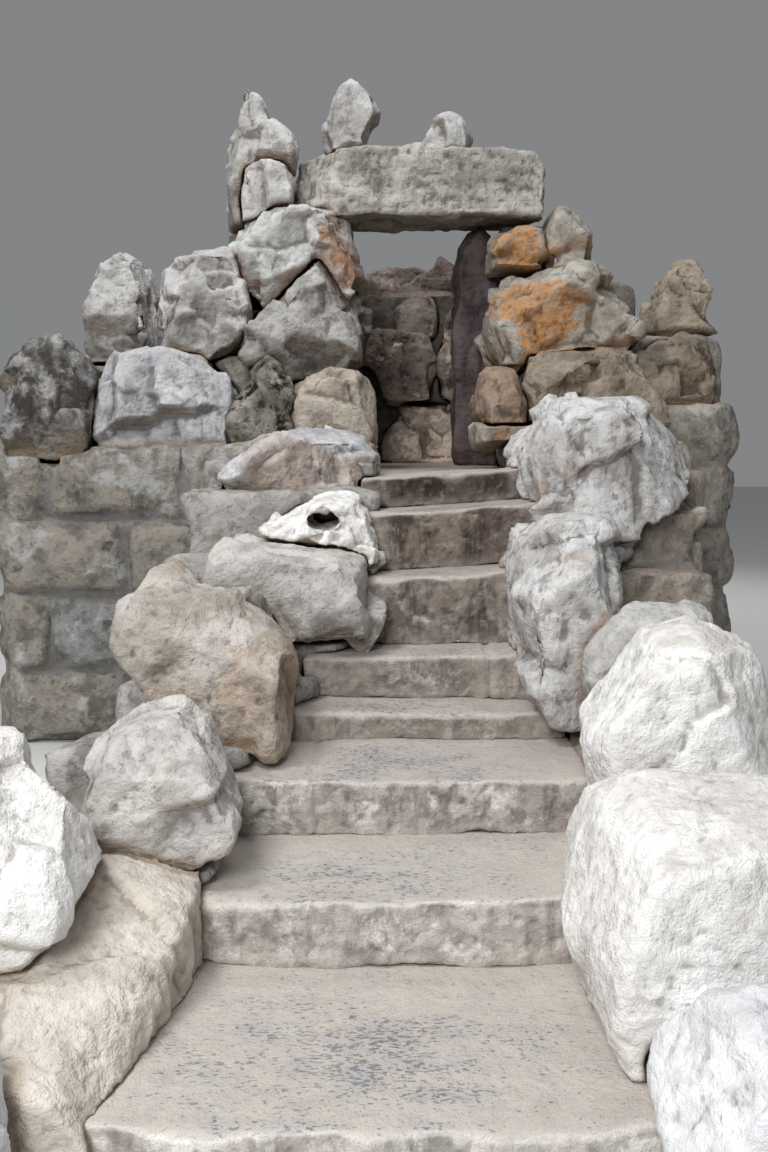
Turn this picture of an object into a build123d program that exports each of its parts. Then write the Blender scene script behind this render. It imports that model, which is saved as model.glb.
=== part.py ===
"""Outdoor stone steps of a rock garden, all dimensions in millimetres.

Eight worn slabs climb between two flanks of large limestone boulders to a
landing.  The landing runs through a low doorway in a boulder wall, under one
long lintel stone, into a small recess that turns off to the right.  Rubble
masonry beds carry the slabs and the boulders down to one level base at Z = 0.

X runs to the right of someone climbing the steps, Y is the way they climb and
Z is up.  The origin is at the foot of the lowest step, on its front face.
"""
from build123d import *
from math import cos, radians, sin
import os

# Flight: one value for each step, from the lowest to the landing step.
RISES = [150, 205, 195, 110, 175, 285, 260, 145]
GOINGS = [815, 555, 515, 230, 250, 250, 280, 310]
LEFT_EDGES = [-650, -515, -500, -360, -235, -50, 5, -20]
RIGHT_EDGES = [605, 610, 635, 620, 570, 590, 610, 700]
LEANS = [0, 0.5, 0, -0.5, 1, 3, 3.5, 3.5]
BOWS = [25, 30, 22, 8, 6, 12, 10, 8]
BEARING = 60
END_HOLD = 90
NOSING_RADIUS = 18
STONE_JOINT = 10
THIRD_STEP_JOINT = -245
FIFTH_STEP_JOINT = 420

# Landing, doorway and recess.
LANDING_LENGTH = 1300
DOOR_LEFT = -165
DOOR_WIDTH = 850
DOOR_HEIGHT = 1525
WALL_THICKNESS = 900
RECESS_LENGTH = 850
RECESS_REACH = 1500
FLAG_THICKNESS = 100
SCREEN_THICKNESS = 560
SCREEN_HEIGHT = 1250
JAMB_REACH = 100

# Masonry beds and walls.
BED_LEFT = -660
BED_RIGHT = 780
LEFT_FLANK_RISE = 90
RIGHT_FLANK_RISE = 20
LEFT_FLANK_THICKNESS = 640
RIGHT_FLANK_THICKNESS = 660
REAR_WALL_LEFT = -2130
REAR_WALL_RIGHT = 2080
REAR_SHELF = 160

# Tiers of the rear wall: share of its reach, front behind the doorway's face, top above the landing.
LEFT_TIERS = [(1, -560, 160), (0.97, -150, 660), (0.72, 150, 980), (0.36, 430, DOOR_HEIGHT)]
RIGHT_TIERS = [(1, 60, 410), (0.97, 250, 820), (0.6, 480, 1180), (0.38, 480, DOOR_HEIGHT)]

# Rubble on the outer faces of the walls: length and height of a stone, how far it stands
# proud of the wall, the joint round its foot and how far its sides draw in.
RUBBLE_LENGTH = 560
RUBBLE_COURSE = 400
RUBBLE_PROUD = 75
RUBBLE_JOINT = 44
RUBBLE_DRAW = 34

# Boulders: how far one beds into what carries it, and how it is dressed.
SEAT = 40
SHOULDER_AT = 0.2
BELLY_AT = 0.55
CHIP_SHARE = 0.12
GOLDEN_ANGLE = 137.5

STEPS = len(RISES)


def running_total(values):
    """The values added up one by one, from nothing."""
    totals = [0]
    for value in values:
        totals.append(totals[-1] + value)
    return totals


LEVELS = running_total(RISES)
NOSINGS = running_total(GOINGS)
LANDING_LEVEL = LEVELS[STEPS]
LANDING_START = NOSINGS[STEPS]
FLAG_BASE = LANDING_LEVEL - FLAG_THICKNESS
WALL_FRONT = LANDING_START + LANDING_LENGTH
WALL_BACK = WALL_FRONT + WALL_THICKNESS
RECESS_BACK = WALL_BACK + RECESS_LENGTH
SCREEN_BACK = RECESS_BACK + SCREEN_THICKNESS
SCREEN_TOP = LANDING_LEVEL + SCREEN_HEIGHT
DOOR_RIGHT = DOOR_LEFT + DOOR_WIDTH
DOOR_HEAD = LANDING_LEVEL + DOOR_HEIGHT

# Outlines of boulders seen from the front, as shares of width and height.
BLOCK = [(0.06, 0), (0.97, 0), (1, 0.45), (0.93, 0.93), (0.55, 1), (0.08, 0.92), (0, 0.4)]
CROWN = [(0.05, 0), (0.95, 0), (1, 0.5), (0.88, 0.86), (0.55, 1), (0.2, 0.9), (0, 0.55)]
BEAK = [
    (0.05, 0.1), (0.45, 0), (0.86, 0.14), (1, 0.4), (0.94, 0.76),
    (0.8, 0.97), (0.45, 1), (0.1, 0.9), (0, 0.5),
]
WEDGE = [
    (0.2, 0), (0.75, 0), (0.95, 0.16), (1, 0.34), (0.91, 0.56), (0.79, 0.8),
    (0.62, 0.98), (0.34, 0.92), (0.11, 0.74), (0, 0.57), (0.1, 0.3),
]
SADDLE = [
    (0.25, 0), (0.96, 0), (0.97, 0.2), (1, 0.49), (0.9, 0.68), (0.73, 0.85),
    (0.42, 0.84), (0.29, 0.97), (0.18, 1), (0.04, 0.85), (0, 0.68), (0.1, 0.5), (0.24, 0.27),
]
SHELF = [(0.4, 0), (0.97, 0), (1, 0.2), (0.94, 0.8), (0.79, 0.91), (0.3, 1), (0, 0.98), (0, 0.55), (0.26, 0.46)]
ARROW = [
    (0.05, 0.12), (0.5, 0), (1, 0), (0.97, 0.3), (0.87, 0.76),
    (0.72, 0.96), (0.5, 1), (0.3, 0.86), (0, 0.5),
]
SHOULDER = [(0, 0), (1, 0), (0.99, 0.64), (0.88, 0.92), (0.62, 1), (0.44, 0.94), (0.2, 0.66), (0.03, 0.36)]
BLUFF = [
    (0.1, 0), (0.93, 0), (1, 0.35), (0.97, 0.8), (0.85, 1), (0.22, 1),
    (0.12, 0.94), (0.05, 0.77), (0, 0.55), (0.03, 0.32), (0.07, 0.16),
]
RIB = [(0.25, 0), (0.62, 0), (0.8, 0.3), (1, 0.68), (0.9, 1), (0.2, 1), (0.04, 0.9), (0, 0.6), (0.06, 0.28)]
CREST = [
    (0.08, 0), (0.5, 0), (0.62, 0.3), (0.86, 0.42), (1, 0.58), (0.9, 0.78), (0.7, 0.95),
    (0.42, 0.97), (0.22, 1), (0.06, 0.88), (0, 0.6), (0.04, 0.3),
]
TILTED = [
    (0.25, 0), (0.85, 0), (1, 0.4), (0.88, 0.72), (0.64, 1), (0.46, 0.88), (0.15, 0.58), (0, 0.42), (0.04, 0.2),
]
HEAD = [(0.2, 0), (0.9, 0.03), (1, 0.3), (0.95, 0.72), (0.82, 0.96), (0.4, 1), (0.09, 0.94), (0, 0.6), (0.06, 0.25)]
LEANER = [(0.08, 0), (0.6, 0), (1, 0.6), (0.95, 0.84), (0.66, 1), (0.34, 0.92), (0, 0.4)]
TABLET = [(0.02, 0), (0.98, 0), (1, 0.7), (0.96, 0.95), (0.5, 1), (0.04, 0.94), (0, 0.5)]
PEAK = [(0.05, 0), (0.95, 0), (1, 0.3), (0.75, 0.62), (0.52, 0.95), (0.34, 1), (0.2, 0.78), (0, 0.4)]
HOLLOW = [(-62, -6), (-34, -27), (14, -30), (55, -15), (62, 6), (34, 27), (-14, 30), (-55, 15)]

laid = []


def seat(name, stone):
    """Lays a stone under a name, dressed to fit the stones already there."""
    box = stone.bounding_box()
    for _, other in laid:
        if box.overlaps(other.bounding_box()):
            stone = stone - other
    laid.append((name, largest(stone)))


def largest(shape):
    """The largest solid of a shape, for when a cut leaves crumbs."""
    return max(shape.solids(), key=lambda solid: solid.volume)


def flat_faces(a, b, c, d):
    """One flat face through four points, or two where they lie askew."""
    if abs((b - a).cross(c - a).normalized().dot(d - a)) < 0.001:
        return [Face(Wire.make_polygon([a, b, c, d]))]
    return [Face(Wire.make_polygon([a, b, c])), Face(Wire.make_polygon([a, c, d]))]


def polyhedron(rings):
    """A solid through rings of points that match one by one."""
    faces = [Face(Wire.make_polygon(rings[0])), Face(Wire.make_polygon(rings[-1]))]
    for near, far in zip(rings, rings[1:]):
        for i in range(len(near)):
            j = (i + 1) % len(near)
            faces += flat_faces(near[i], near[j], far[j], far[i])
    return Solid(Shell(faces))


def chipped(stone, serial, count):
    """The stone with flat chips struck off its shoulders, each in its own direction."""
    for i in range(count):
        turn = radians(GOLDEN_ANGLE * (serial * 7 + i))
        rise = radians(15 + 35 * ((i * 0.618 + serial * 0.37) % 1))
        way = Vector(cos(turn) * cos(rise), sin(turn) * cos(rise), sin(rise))
        reaches = [way.dot(Vector(vertex)) for vertex in stone.vertices()]
        cut_at = max(reaches) - CHIP_SHARE * (max(reaches) - min(reaches))
        stone = largest(split(stone, bisect_by=Plane(way * cut_at, z_dir=way), keep=Keep.BOTTOM))
    return stone


def boulder(name, outline, x, y, z, width, depth, height, nose=0.7, tail=0.8, skew=0.0, chips=4):
    """One boulder, with its left side at x, its front at y and its foot at z.

    The outline is full size at the belly and shrinks towards the middle of its
    foot to the nose in front and the tail behind, shifted sideways by the skew.
    """
    rings = []
    for along, scale, shift in (
        (0, nose, skew), (SHOULDER_AT, 0.4 * nose + 0.6, 0.5 * skew), (BELLY_AT, 1, 0), (1, tail, -skew),
    ):
        rings.append([
            Vector(((u - 0.5) * scale + shift) * width, (along - 0.5) * depth, v * scale * height)
            for u, v in outline
        ])
    stone = chipped(polyhedron(rings), len(laid), chips)
    seat(name, Pos(x + width / 2, y + depth / 2, z) * stone)


def block(x0, x1, y0, y1, z0, z1):
    """A plain rectangular solid between the given limits."""
    return Pos((x0 + x1) / 2, (y0 + y1) / 2, (z0 + z1) / 2) * Box(x1 - x0, y1 - y0, z1 - z0)


def leaning_plane(level, lean):
    """A plane across the flight at a level, rising to the right by the lean in degrees."""
    across = cos(radians(lean))
    climb = sin(radians(lean))
    return Plane((0, 0, level), x_dir=(across, 0, climb), z_dir=(-climb, 0, across))


def step_slab(k):
    """Step slab k: its front bows out, its top leans and its nosing is worn round."""
    left = LEFT_EDGES[k] - END_HOLD
    right = RIGHT_EDGES[k] + END_HOLD
    front = NOSINGS[k]
    back = NOSINGS[k + 1] + (BEARING if k < STEPS - 1 else 0)
    quarter = (right - left) / 4
    plan = Polyline(
        (left, front), (left + quarter, front - BOWS[k]), (right - quarter, front - BOWS[k]),
        (right, front), (right, back), (left, back), close=True,
    )
    slab = extrude(Plane.XY.offset(LEVELS[k] - RISES[k]) * make_face(plan), 3 * RISES[k])
    slab = split(slab, bisect_by=leaning_plane(LEVELS[k + 1], LEANS[k]), keep=Keep.BOTTOM)
    under_lean = LEANS[k - 1] if k else 0
    slab = split(slab, bisect_by=leaning_plane(LEVELS[k], under_lean), keep=Keep.TOP)
    top = slab.faces().sort_by(Axis.Z)[-1]
    nosing = [
        edge for edge in top.edges()
        if edge.center().Y < (front + back) / 2 and abs(edge.tangent_at(0.5).X) > 0.7
    ]
    return fillet(nosing, NOSING_RADIUS)


def flight():
    """The step slabs, each one bearing on the back of the one below."""
    joints = {2: THIRD_STEP_JOINT, 4: FIFTH_STEP_JOINT}
    for k in range(STEPS):
        slab = step_slab(k)
        if k in joints:
            slab = slab - block(joints[k], joints[k] + STONE_JOINT, 0, LANDING_START, 0, LANDING_LEVEL)
        for solid in slab.solids():
            laid.append((f"step_{k + 1}", solid))


def flags():
    """The flagstones of the landing, the doorway and the recess, with open joints between."""
    left = LEFT_EDGES[-1] - END_HOLD
    right = RIGHT_EDGES[-1] + END_HOLD
    for x0, x1, y0, y1 in (
        (left, right, LANDING_START, WALL_FRONT),
        (DOOR_LEFT - END_HOLD, DOOR_RIGHT + END_HOLD, WALL_FRONT + STONE_JOINT, WALL_BACK),
        (DOOR_LEFT - END_HOLD, RECESS_REACH, WALL_BACK + STONE_JOINT, RECESS_BACK),
    ):
        laid.append(("floor_flags", block(x0, x1, y0, y1, FLAG_BASE, LANDING_LEVEL).solids()[0]))


def left_flank():
    """The boulders down the left of the flight, from the lowest up."""
    foot = LEFT_EDGES[0]
    rise = LEFT_FLANK_RISE - SEAT
    ledge_rock()
    boulder("foot_boulders", CROWN, foot - 570, NOSINGS[0] - 380, 0, 420, 480, 480, nose=0.8, tail=0.8)
    boulder("left_white_boulder", BEAK, foot - 820, NOSINGS[0] + 300, LEVELS[2] - 60, 690, 600, 610,
            nose=0.85, chips=3)
    boulder("left_wedge_boulder", WEDGE, LEFT_EDGES[1] - 456, NOSINGS[1] + 35, LEVELS[2] + rise,
            540, 560, 490, nose=0.85, skew=0.02, chips=3)
    boulder("left_saddle_boulder", SADDLE, LEFT_EDGES[3] - 620, NOSINGS[2] + 130, LEVELS[3] + rise,
            650, 680, 650, nose=0.85, skew=0.01, chips=2)
    boulder("left_shelf_rock", SHELF, LEFT_EDGES[4] - 480, NOSINGS[4] - 60, LEVELS[5] + rise,
            680, 600, 400, nose=0.88, tail=0.9, chips=2)
    pierced_rock()
    boulder("left_shoulder_boulder", SHOULDER, LEFT_EDGES[7] - 775, NOSINGS[7] - 60, LEVELS[7] + rise,
            785, 950, 320, nose=0.85, tail=0.9, chips=3)


def ledge_rock():
    """The long tan rock beside the lowest tread: its flank follows the tread and rises with it."""
    near = [(-520, 0), (0, 0), (-20, 130), (-105, 240), (-330, 280), (-520, 250)]
    far = [(-560, 0), (0, 0), (-5, 230), (-30, 430), (-260, 500), (-560, 470)]
    rings = []
    for points, edge, y in ((near, LEFT_EDGES[0], NOSINGS[0] - 40), (far, LEFT_EDGES[1], NOSINGS[1] + 60)):
        rings.append([Vector(edge + u, y, v) for u, v in points])
    seat("left_ledge_rock", polyhedron(rings))


def pierced_rock():
    """The white rock above the shelf, with the hollow worn right through it."""
    x = LEFT_EDGES[6] - 545
    y = NOSINGS[5] - 10
    z = LEVELS[6] + LEFT_FLANK_RISE - SEAT
    depth = 430
    boulder("left_pierced_rock", ARROW, x, y, z, 540, depth, 300, nose=0.8, tail=0.85, chips=2)
    outline = make_face(Polyline(*HOLLOW, close=True))
    hollow = extrude(Plane.XZ.offset(-y - depth) * Pos(x + 285, z + 190) * outline, 2 * depth)
    name, rock = laid.pop()
    laid.append((name, largest(rock - hollow)))


def right_flank():
    """The boulders down the right of the flight, from the lowest up."""
    foot = RIGHT_EDGES[0]
    rise = RIGHT_FLANK_RISE - SEAT
    boulder("foot_boulders", BLUFF, foot - 20, NOSINGS[0] - 330, 0, 560, 520, 480, nose=0.85, tail=0.8)
    boulder("right_great_boulder", BLUFF, foot - 95, NOSINGS[0] + 160, 0, 760, 870, 790,
            nose=0.88, tail=0.85, skew=0.01, chips=2)
    boulder("right_white_boulder", CROWN, RIGHT_EDGES[1] + 33, NOSINGS[1] + 185, LEVELS[3] - 60, 630, 580, 625,
            nose=0.85, tail=0.85, chips=3)
    boulder("right_rib_rock", RIB, RIGHT_EDGES[3] - 120, NOSINGS[3] - 130, LEVELS[4] - SEAT, 440, 780, 790,
            nose=0.8, tail=0.95, skew=0.02)
    boulder("right_bed_slab", TABLET, RIGHT_EDGES[3] + 100, NOSINGS[3] - 260, LEVELS[4] + rise,
            520, 500, 450, nose=0.9, chips=3)
    boulder("right_crest_rock", CREST, RIGHT_EDGES[6] - 15, NOSINGS[6] - 100, LEVELS[6] + rise,
            830, 980, 830, nose=0.85, tail=0.9, chips=3)


def landing_sides():
    """The rocks that line the landing between the flanks and the doorway."""
    y = WALL_FRONT - 500
    base = LANDING_LEVEL - SEAT
    boulder("jamb_base_block", BLOCK, DOOR_LEFT - 405, y - 80, base, 520, 800, 600, nose=0.95, tail=0.95)
    boulder("moss_rock", CROWN, DOOR_LEFT - 690, y - 150, base, 380, 760, 670, nose=0.9)
    boulder("right_jamb_stones", TABLET, DOOR_RIGHT - 165, y - 30, LANDING_LEVEL + 160, 420, 620, 115,
            nose=0.9, chips=0)
    boulder("right_stack_rock", BLOCK, DOOR_RIGHT - 145, y + 40, LANDING_LEVEL + 250, 300, 620, 330)
    boulder("right_tilted_slab", TABLET, DOOR_RIGHT + 125, y + 150, LANDING_LEVEL + 120, 760, 620, 590,
            nose=0.9)


def portal():
    """The doorway's jambs and the lintel that they carry."""
    y = WALL_FRONT
    boulder("jamb_tilted_boulder", TILTED, DOOR_LEFT - 700, y - 250, LANDING_LEVEL + 510, 770, 900, 870,
            nose=0.88, chips=2)
    boulder("jamb_head_boulder", HEAD, DOOR_LEFT - 745, y - 50, DOOR_HEAD - 570, 800, 820, 640,
            nose=0.9, chips=3)
    boulder("right_jamb_boulder", BEAK, DOOR_RIGHT - 75, y - 60, LANDING_LEVEL + 560, 980, 860, 670, nose=0.88)
    boulder("right_jamb_pier", BLOCK, DOOR_RIGHT - 235, y + 540, FLAG_BASE, 300, 360,
            DOOR_HEIGHT + FLAG_THICKNESS + SEAT, nose=0.95, tail=0.95, chips=0)
    boulder("right_jamb_stones", BLOCK, DOOR_RIGHT - 60, y + 120, LANDING_LEVEL + 1200, 350, 640, 260,
            nose=0.92, chips=2)
    boulder("right_jamb_stones", CROWN, DOOR_RIGHT + 300, y + 170, LANDING_LEVEL + 1180, 260, 560, 440,
            nose=0.85, chips=2)
    boulder("lintel", TABLET, DOOR_LEFT - 425, y + 180, DOOR_HEAD, DOOR_WIDTH + 740, WALL_THICKNESS - 220, 410,
            nose=0.97, tail=0.95, chips=1)


def crest():
    """The block at the lintel's left end and the loose stones along the top."""
    y = WALL_FRONT + 200
    top = DOOR_HEAD + 385
    boulder("lintel_end_block", BLOCK, DOOR_LEFT - 720, y - 60, DOOR_HEAD - SEAT, 340, 560, 390, nose=0.9)
    boulder("crest_stones", CROWN, DOOR_LEFT - 640, y + 20, DOOR_HEAD + 280, 290, 380, 310)
    boulder("crest_stones", LEANER, DOOR_LEFT - 210, y + 60, top - SEAT, 330, 400, 520)
    boulder("crest_stones", CROWN, DOOR_LEFT + 370, y + 60, top - SEAT, 350, 380, 330)
    boulder("crest_stones", PEAK, DOOR_LEFT - 830, y + 120, DOOR_HEAD - SEAT, 420, 520, 1000)


def rear_boulders():
    """The boulders of the rear wall, left and right of the doorway."""
    y = WALL_FRONT
    left = REAR_WALL_LEFT
    right = REAR_WALL_RIGHT
    boulder("rear_left_block", BLOCK, left + 465, y - 520, LANDING_LEVEL + 100, 840, 680, 590, nose=0.92)
    boulder("rear_left_boulders", CROWN, left + 10, y - 600, LANDING_LEVEL + 60, 520, 760, 680, nose=0.92)
    boulder("rear_left_boulders", CROWN, left + 370, y - 180, LANDING_LEVEL + 620, 430, 640, 690, nose=0.88)
    boulder("rear_left_boulders", BEAK, left + 775, y - 260, LANDING_LEVEL + 600, 600, 680, 710, nose=0.88)
    boulder("rear_right_boulders", CROWN, right - 620, y + 100, LANDING_LEVEL + 370, 600, 640, 430, nose=0.9)
    boulder("rear_right_boulders", LEANER, right - 400, y + 330, LANDING_LEVEL + 750, 400, 520, 590, nose=0.9)


def recess_rocks():
    """The rocks that show through the doorway, against the far side of the recess."""
    y = RECESS_BACK
    boulder("screen_rocks", BLOCK, DOOR_LEFT + 165, y - 200, LANDING_LEVEL, 735, 420, 450, nose=0.92)
    boulder("screen_rocks", SHELF, DOOR_LEFT - 30, y - 240, LANDING_LEVEL + 470, 555, 460, 490, nose=0.9)
    boulder("screen_rocks", LEANER, DOOR_LEFT + 560, y - 180, LANDING_LEVEL + 470, 470, 440, 760, nose=0.9)
    boulder("screen_rocks", CROWN, DOOR_LEFT + 270, y - 140, LANDING_LEVEL + 920, 300, 360, 340, nose=0.9)
    boulder("screen_rocks", CROWN, DOOR_LEFT - 30, y + 40, SCREEN_TOP - SEAT, 760, 420, 270, nose=0.9)


def stair_bed():
    """The stepped rubble bed below the slabs, one profile across the flight."""
    profile = [(NOSINGS[1] + BEARING, 0)]
    for k in range(1, STEPS):
        back = NOSINGS[k + 1] + (BEARING if k < STEPS - 1 else 0)
        profile += [(NOSINGS[k] + BEARING, LEVELS[k]), (back, LEVELS[k])]
    profile.append((LANDING_START, 0))
    face = Plane.YZ.offset(BED_LEFT) * make_face(Polyline(*profile, close=True))
    return extrude(face, BED_RIGHT - BED_LEFT)


def landing_bed():
    """The bed below the landing, the doorway and the recess."""
    plan = Polyline(
        (BED_LEFT, LANDING_START), (BED_RIGHT, LANDING_START), (BED_RIGHT, WALL_BACK),
        (RECESS_REACH, WALL_BACK), (RECESS_REACH, RECESS_BACK), (BED_LEFT, RECESS_BACK), close=True,
    )
    return extrude(make_face(plan), FLAG_BASE)


def scatter(n):
    """A number from -1 to 1 that jumps about as n counts up."""
    return 2 * (n * 0.618 % 1) - 1


def rubble_stone(face, left, right, bottom, top, serial):
    """A stone on a wall's face: its four sides draw in and its front leans a little its own way."""
    middle = Vector((left + right) / 2, (bottom + top) / 2)
    rings = []
    for inset, proud, lean in ((0, -RUBBLE_JOINT, 0), (RUBBLE_DRAW, RUBBLE_PROUD, 0.07)):
        inset += RUBBLE_JOINT / 2
        ring = []
        for i, (u, v) in enumerate((
            (left + inset, bottom + inset), (right - inset, bottom + inset),
            (right - inset, top - inset), (left + inset, top - inset),
        )):
            u += 0.5 * RUBBLE_JOINT * scatter(4 * serial + i)
            v += 0.4 * RUBBLE_JOINT * scatter(7 * serial + 3 * i)
            tilt = (u - middle.X) * scatter(serial) + (v - middle.Y) * scatter(3 * serial + 1)
            ring.append(face.from_local_coords(Vector(u, v, proud + lean * tilt)))
        rings.append(ring)
    return polyhedron(rings)


def rubble_face(start, end, low, high):
    """The stones of a wall's face that runs from start to end, with its outside on the right."""
    along = Vector(*end) - Vector(*start)
    face = Plane((*start, low), x_dir=along, z_dir=(along.Y, -along.X, 0))
    courses = max(1, round((high - low) / RUBBLE_COURSE))
    count = max(1, round(along.length / RUBBLE_LENGTH))
    stones = []
    for i in range(courses):
        joints = [j + 0.5 * (i % 2) + 0.12 * scatter(5 * i + j) for j in range(1 - i % 2, count)]
        joints = [0] + [along.length * joint / count for joint in joints] + [along.length]
        for left, right in zip(joints, joints[1:]):
            bottom = i * (high - low) / courses
            top = (i + 1) * (high - low) / courses
            stones.append(rubble_stone(face, left, right, bottom, top, len(stones) + courses))
    return stones


def flank_wall(edges, side, thickness, rise, door_edge):
    """A flank wall along one side of the flight, in terraces a rise above the treads.

    The side is -1 on the left and 1 on the right.
    """
    inner = [(edges[0] + side * 60, NOSINGS[0] + 40)]
    inner += [(edges[k], NOSINGS[k]) for k in range(1, STEPS)]
    inner.append((door_edge, WALL_FRONT))
    outer = [
        (edges[0] + side * (thickness - 80), NOSINGS[0] + 40),
        (edges[2] + side * thickness, NOSINGS[2]),
        (edges[4] + side * (thickness + 40), NOSINGS[4]),
        (edges[-1] + side * (thickness + 120), LANDING_START),
        (edges[-1] + side * (thickness + 160), WALL_FRONT),
    ]
    plan = make_face(Polyline(*inner, *reversed(outer), close=True))
    terraces = [(NOSINGS[0] + 40, 0)]
    for k in range(STEPS):
        level = LEVELS[k + 1] + (rise if k else 0)
        terraces += [(NOSINGS[k] + 40, level), (NOSINGS[k + 1] + 40, level)]
    top = LANDING_LEVEL + REAR_SHELF
    terraces += [(LANDING_START + 40, top), (WALL_FRONT, top), (WALL_FRONT, 0)]
    reach = abs(edges[0]) + 2 * thickness
    side_view = Plane.YZ.offset(-reach) * make_face(Polyline(*terraces, close=True))
    path = outer if side > 0 else outer[::-1]
    stones = [stone for a, b in zip(path, path[1:]) for stone in rubble_face(a, b, 0, top)]
    return (extrude(plan, top) + stones) & extrude(side_view, 2 * reach)


def rear_wall(inner, outer, tiers):
    """One side of the rear wall, in tiers that step back and in as they rise.

    The right side's back lines the way out of the recess, so no rubble stands proud of it.
    """
    wall = None
    low = 0
    for share, front, top in tiers:
        far = inner + share * (outer - inner)
        x0, x1 = sorted((inner, far))
        y0 = WALL_FRONT + front
        high = LANDING_LEVEL + top
        tier = block(x0, x1, y0, WALL_BACK, 0, high)
        wall = wall + tier if wall else tier
        if far < inner:
            stones = rubble_face((x1, WALL_BACK), (x0, WALL_BACK), low, high)
            stones += rubble_face((x0, WALL_BACK), (x0, y0), low, high)
        else:
            stones = rubble_face((x1, y0), (x1, WALL_BACK), low, high)
        if not low:
            stones += rubble_face((x0, y0), (x1, y0), low, high)
        wall = wall + stones
        low = high
    return wall


def screen_wall():
    """The masonry round the recess: its left side and the screen across its end."""
    inside = DOOR_LEFT - 40
    outer = [
        (RECESS_REACH - 350, RECESS_BACK), (RECESS_REACH - 420, SCREEN_BACK),
        (BED_LEFT, SCREEN_BACK), (BED_LEFT, WALL_BACK),
    ]
    plan = make_face(Polyline(*outer, (inside, WALL_BACK), (inside, RECESS_BACK), close=True))
    stones = [stone for a, b in zip(outer, outer[1:]) for stone in rubble_face(a, b, 0, SCREEN_TOP)]
    return extrude(plan, SCREEN_TOP) + stones


def masonry():
    """The beds and walls, with pockets where the slabs and boulders sit in them."""
    left_flank_end = DOOR_LEFT + JAMB_REACH
    seat("stair_bed", stair_bed())
    seat("landing_bed", landing_bed())
    seat("left_flank_wall",
         flank_wall(LEFT_EDGES, -1, LEFT_FLANK_THICKNESS, LEFT_FLANK_RISE, left_flank_end))
    seat("right_flank_wall",
         flank_wall(RIGHT_EDGES, 1, RIGHT_FLANK_THICKNESS, RIGHT_FLANK_RISE, DOOR_RIGHT))
    seat("rear_wall_left", rear_wall(DOOR_LEFT - 40, REAR_WALL_LEFT, LEFT_TIERS))
    seat("rear_wall_right", rear_wall(DOOR_RIGHT + 40, REAR_WALL_RIGHT, RIGHT_TIERS))
    seat("screen_wall", screen_wall())


flight()
flags()
left_flank()
right_flank()
landing_sides()
portal()
crest()
rear_boulders()
recess_rocks()
masonry()

nodes = {}
for node_name, solid in laid:
    nodes.setdefault(node_name, []).append(solid)

os.makedirs("parts", exist_ok=True)
for node_name, solids in nodes.items():
    shape = solids[0] if len(solids) == 1 else Compound(children=solids)
    export_step(shape, f"parts/{node_name}.step")
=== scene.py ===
"""Looks of the garden stone stair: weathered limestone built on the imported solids.

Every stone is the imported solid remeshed, worn, broken into facets and pitted in
mesh code, with its colours from a node material.  All lengths are in metres.
"""
import math

import bpy
import numpy as np
from mathutils.bvhtree import BVHTree
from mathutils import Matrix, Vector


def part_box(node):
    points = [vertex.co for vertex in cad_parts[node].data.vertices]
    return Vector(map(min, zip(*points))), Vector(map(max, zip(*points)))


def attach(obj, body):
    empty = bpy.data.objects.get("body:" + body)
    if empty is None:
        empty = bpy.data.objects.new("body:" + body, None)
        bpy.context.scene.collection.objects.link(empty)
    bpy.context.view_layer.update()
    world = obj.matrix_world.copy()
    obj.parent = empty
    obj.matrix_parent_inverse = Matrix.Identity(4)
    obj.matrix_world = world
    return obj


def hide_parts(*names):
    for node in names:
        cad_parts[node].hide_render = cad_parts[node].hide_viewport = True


# Camera and floor.
CAMERA_PLACE = (0.0, -2.45, 1.70)
CAMERA_DIP = 6.73
LENS = 36
SENSOR = 36
FLOOR_REACH = 40.0

# Joints: how far a stone's neighbour is looked for, and what lies along a joint, including a painted shadow
# in the narrow gap.
CONTACT_REACH = 0.08
STONE_FREE_AT = 0.05
WALL_FREE_AT = 0.04
GROOVE_WIDTH = 0.012
GROOVE_DEPTH = 0.010
GAP_SHADOW_WIDTH = 0.013
DUST_WIDTH = 0.045
DUST_HEIGHT = 0.010
SEAM_WIDTH = 0.010
SEAM_DEPTH = 0.012
GROUND_BAND = 0.03

# How much two quads may lean apart within a facet, and the rounds that find the mortar.
RIDGE = 0.03
MORTAR_ROUNDS = 8

# Voxel edges by how near the stones stand to the camera.
NEAR = 0.013
MIDDLE = 0.0155
FAR = 0.0195
WALLS = 0.034

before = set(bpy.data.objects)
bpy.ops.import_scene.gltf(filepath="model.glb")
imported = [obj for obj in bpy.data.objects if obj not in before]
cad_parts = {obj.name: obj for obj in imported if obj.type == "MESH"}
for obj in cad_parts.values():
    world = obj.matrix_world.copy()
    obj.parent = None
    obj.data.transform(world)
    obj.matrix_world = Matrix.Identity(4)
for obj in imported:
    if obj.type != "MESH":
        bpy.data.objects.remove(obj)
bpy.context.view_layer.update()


def hashed(cell, seed):
    """A repeatable number from 0 to 1 for each lattice cell."""
    x, y, z = (cell[:, i].astype(np.int64).astype(np.uint32) for i in range(3))
    mixed = x * np.uint32(374761393) + y * np.uint32(668265263) + z * np.uint32(1440662683)
    mixed = mixed + np.uint32(seed * 1274126177 % 4294967296)
    mixed = (mixed ^ (mixed >> np.uint32(13))) * np.uint32(1103515245)
    mixed = (mixed ^ (mixed >> np.uint32(15))) * np.uint32(2246822519)
    return (mixed ^ (mixed >> np.uint32(16))) / 4294967296.0


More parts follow.
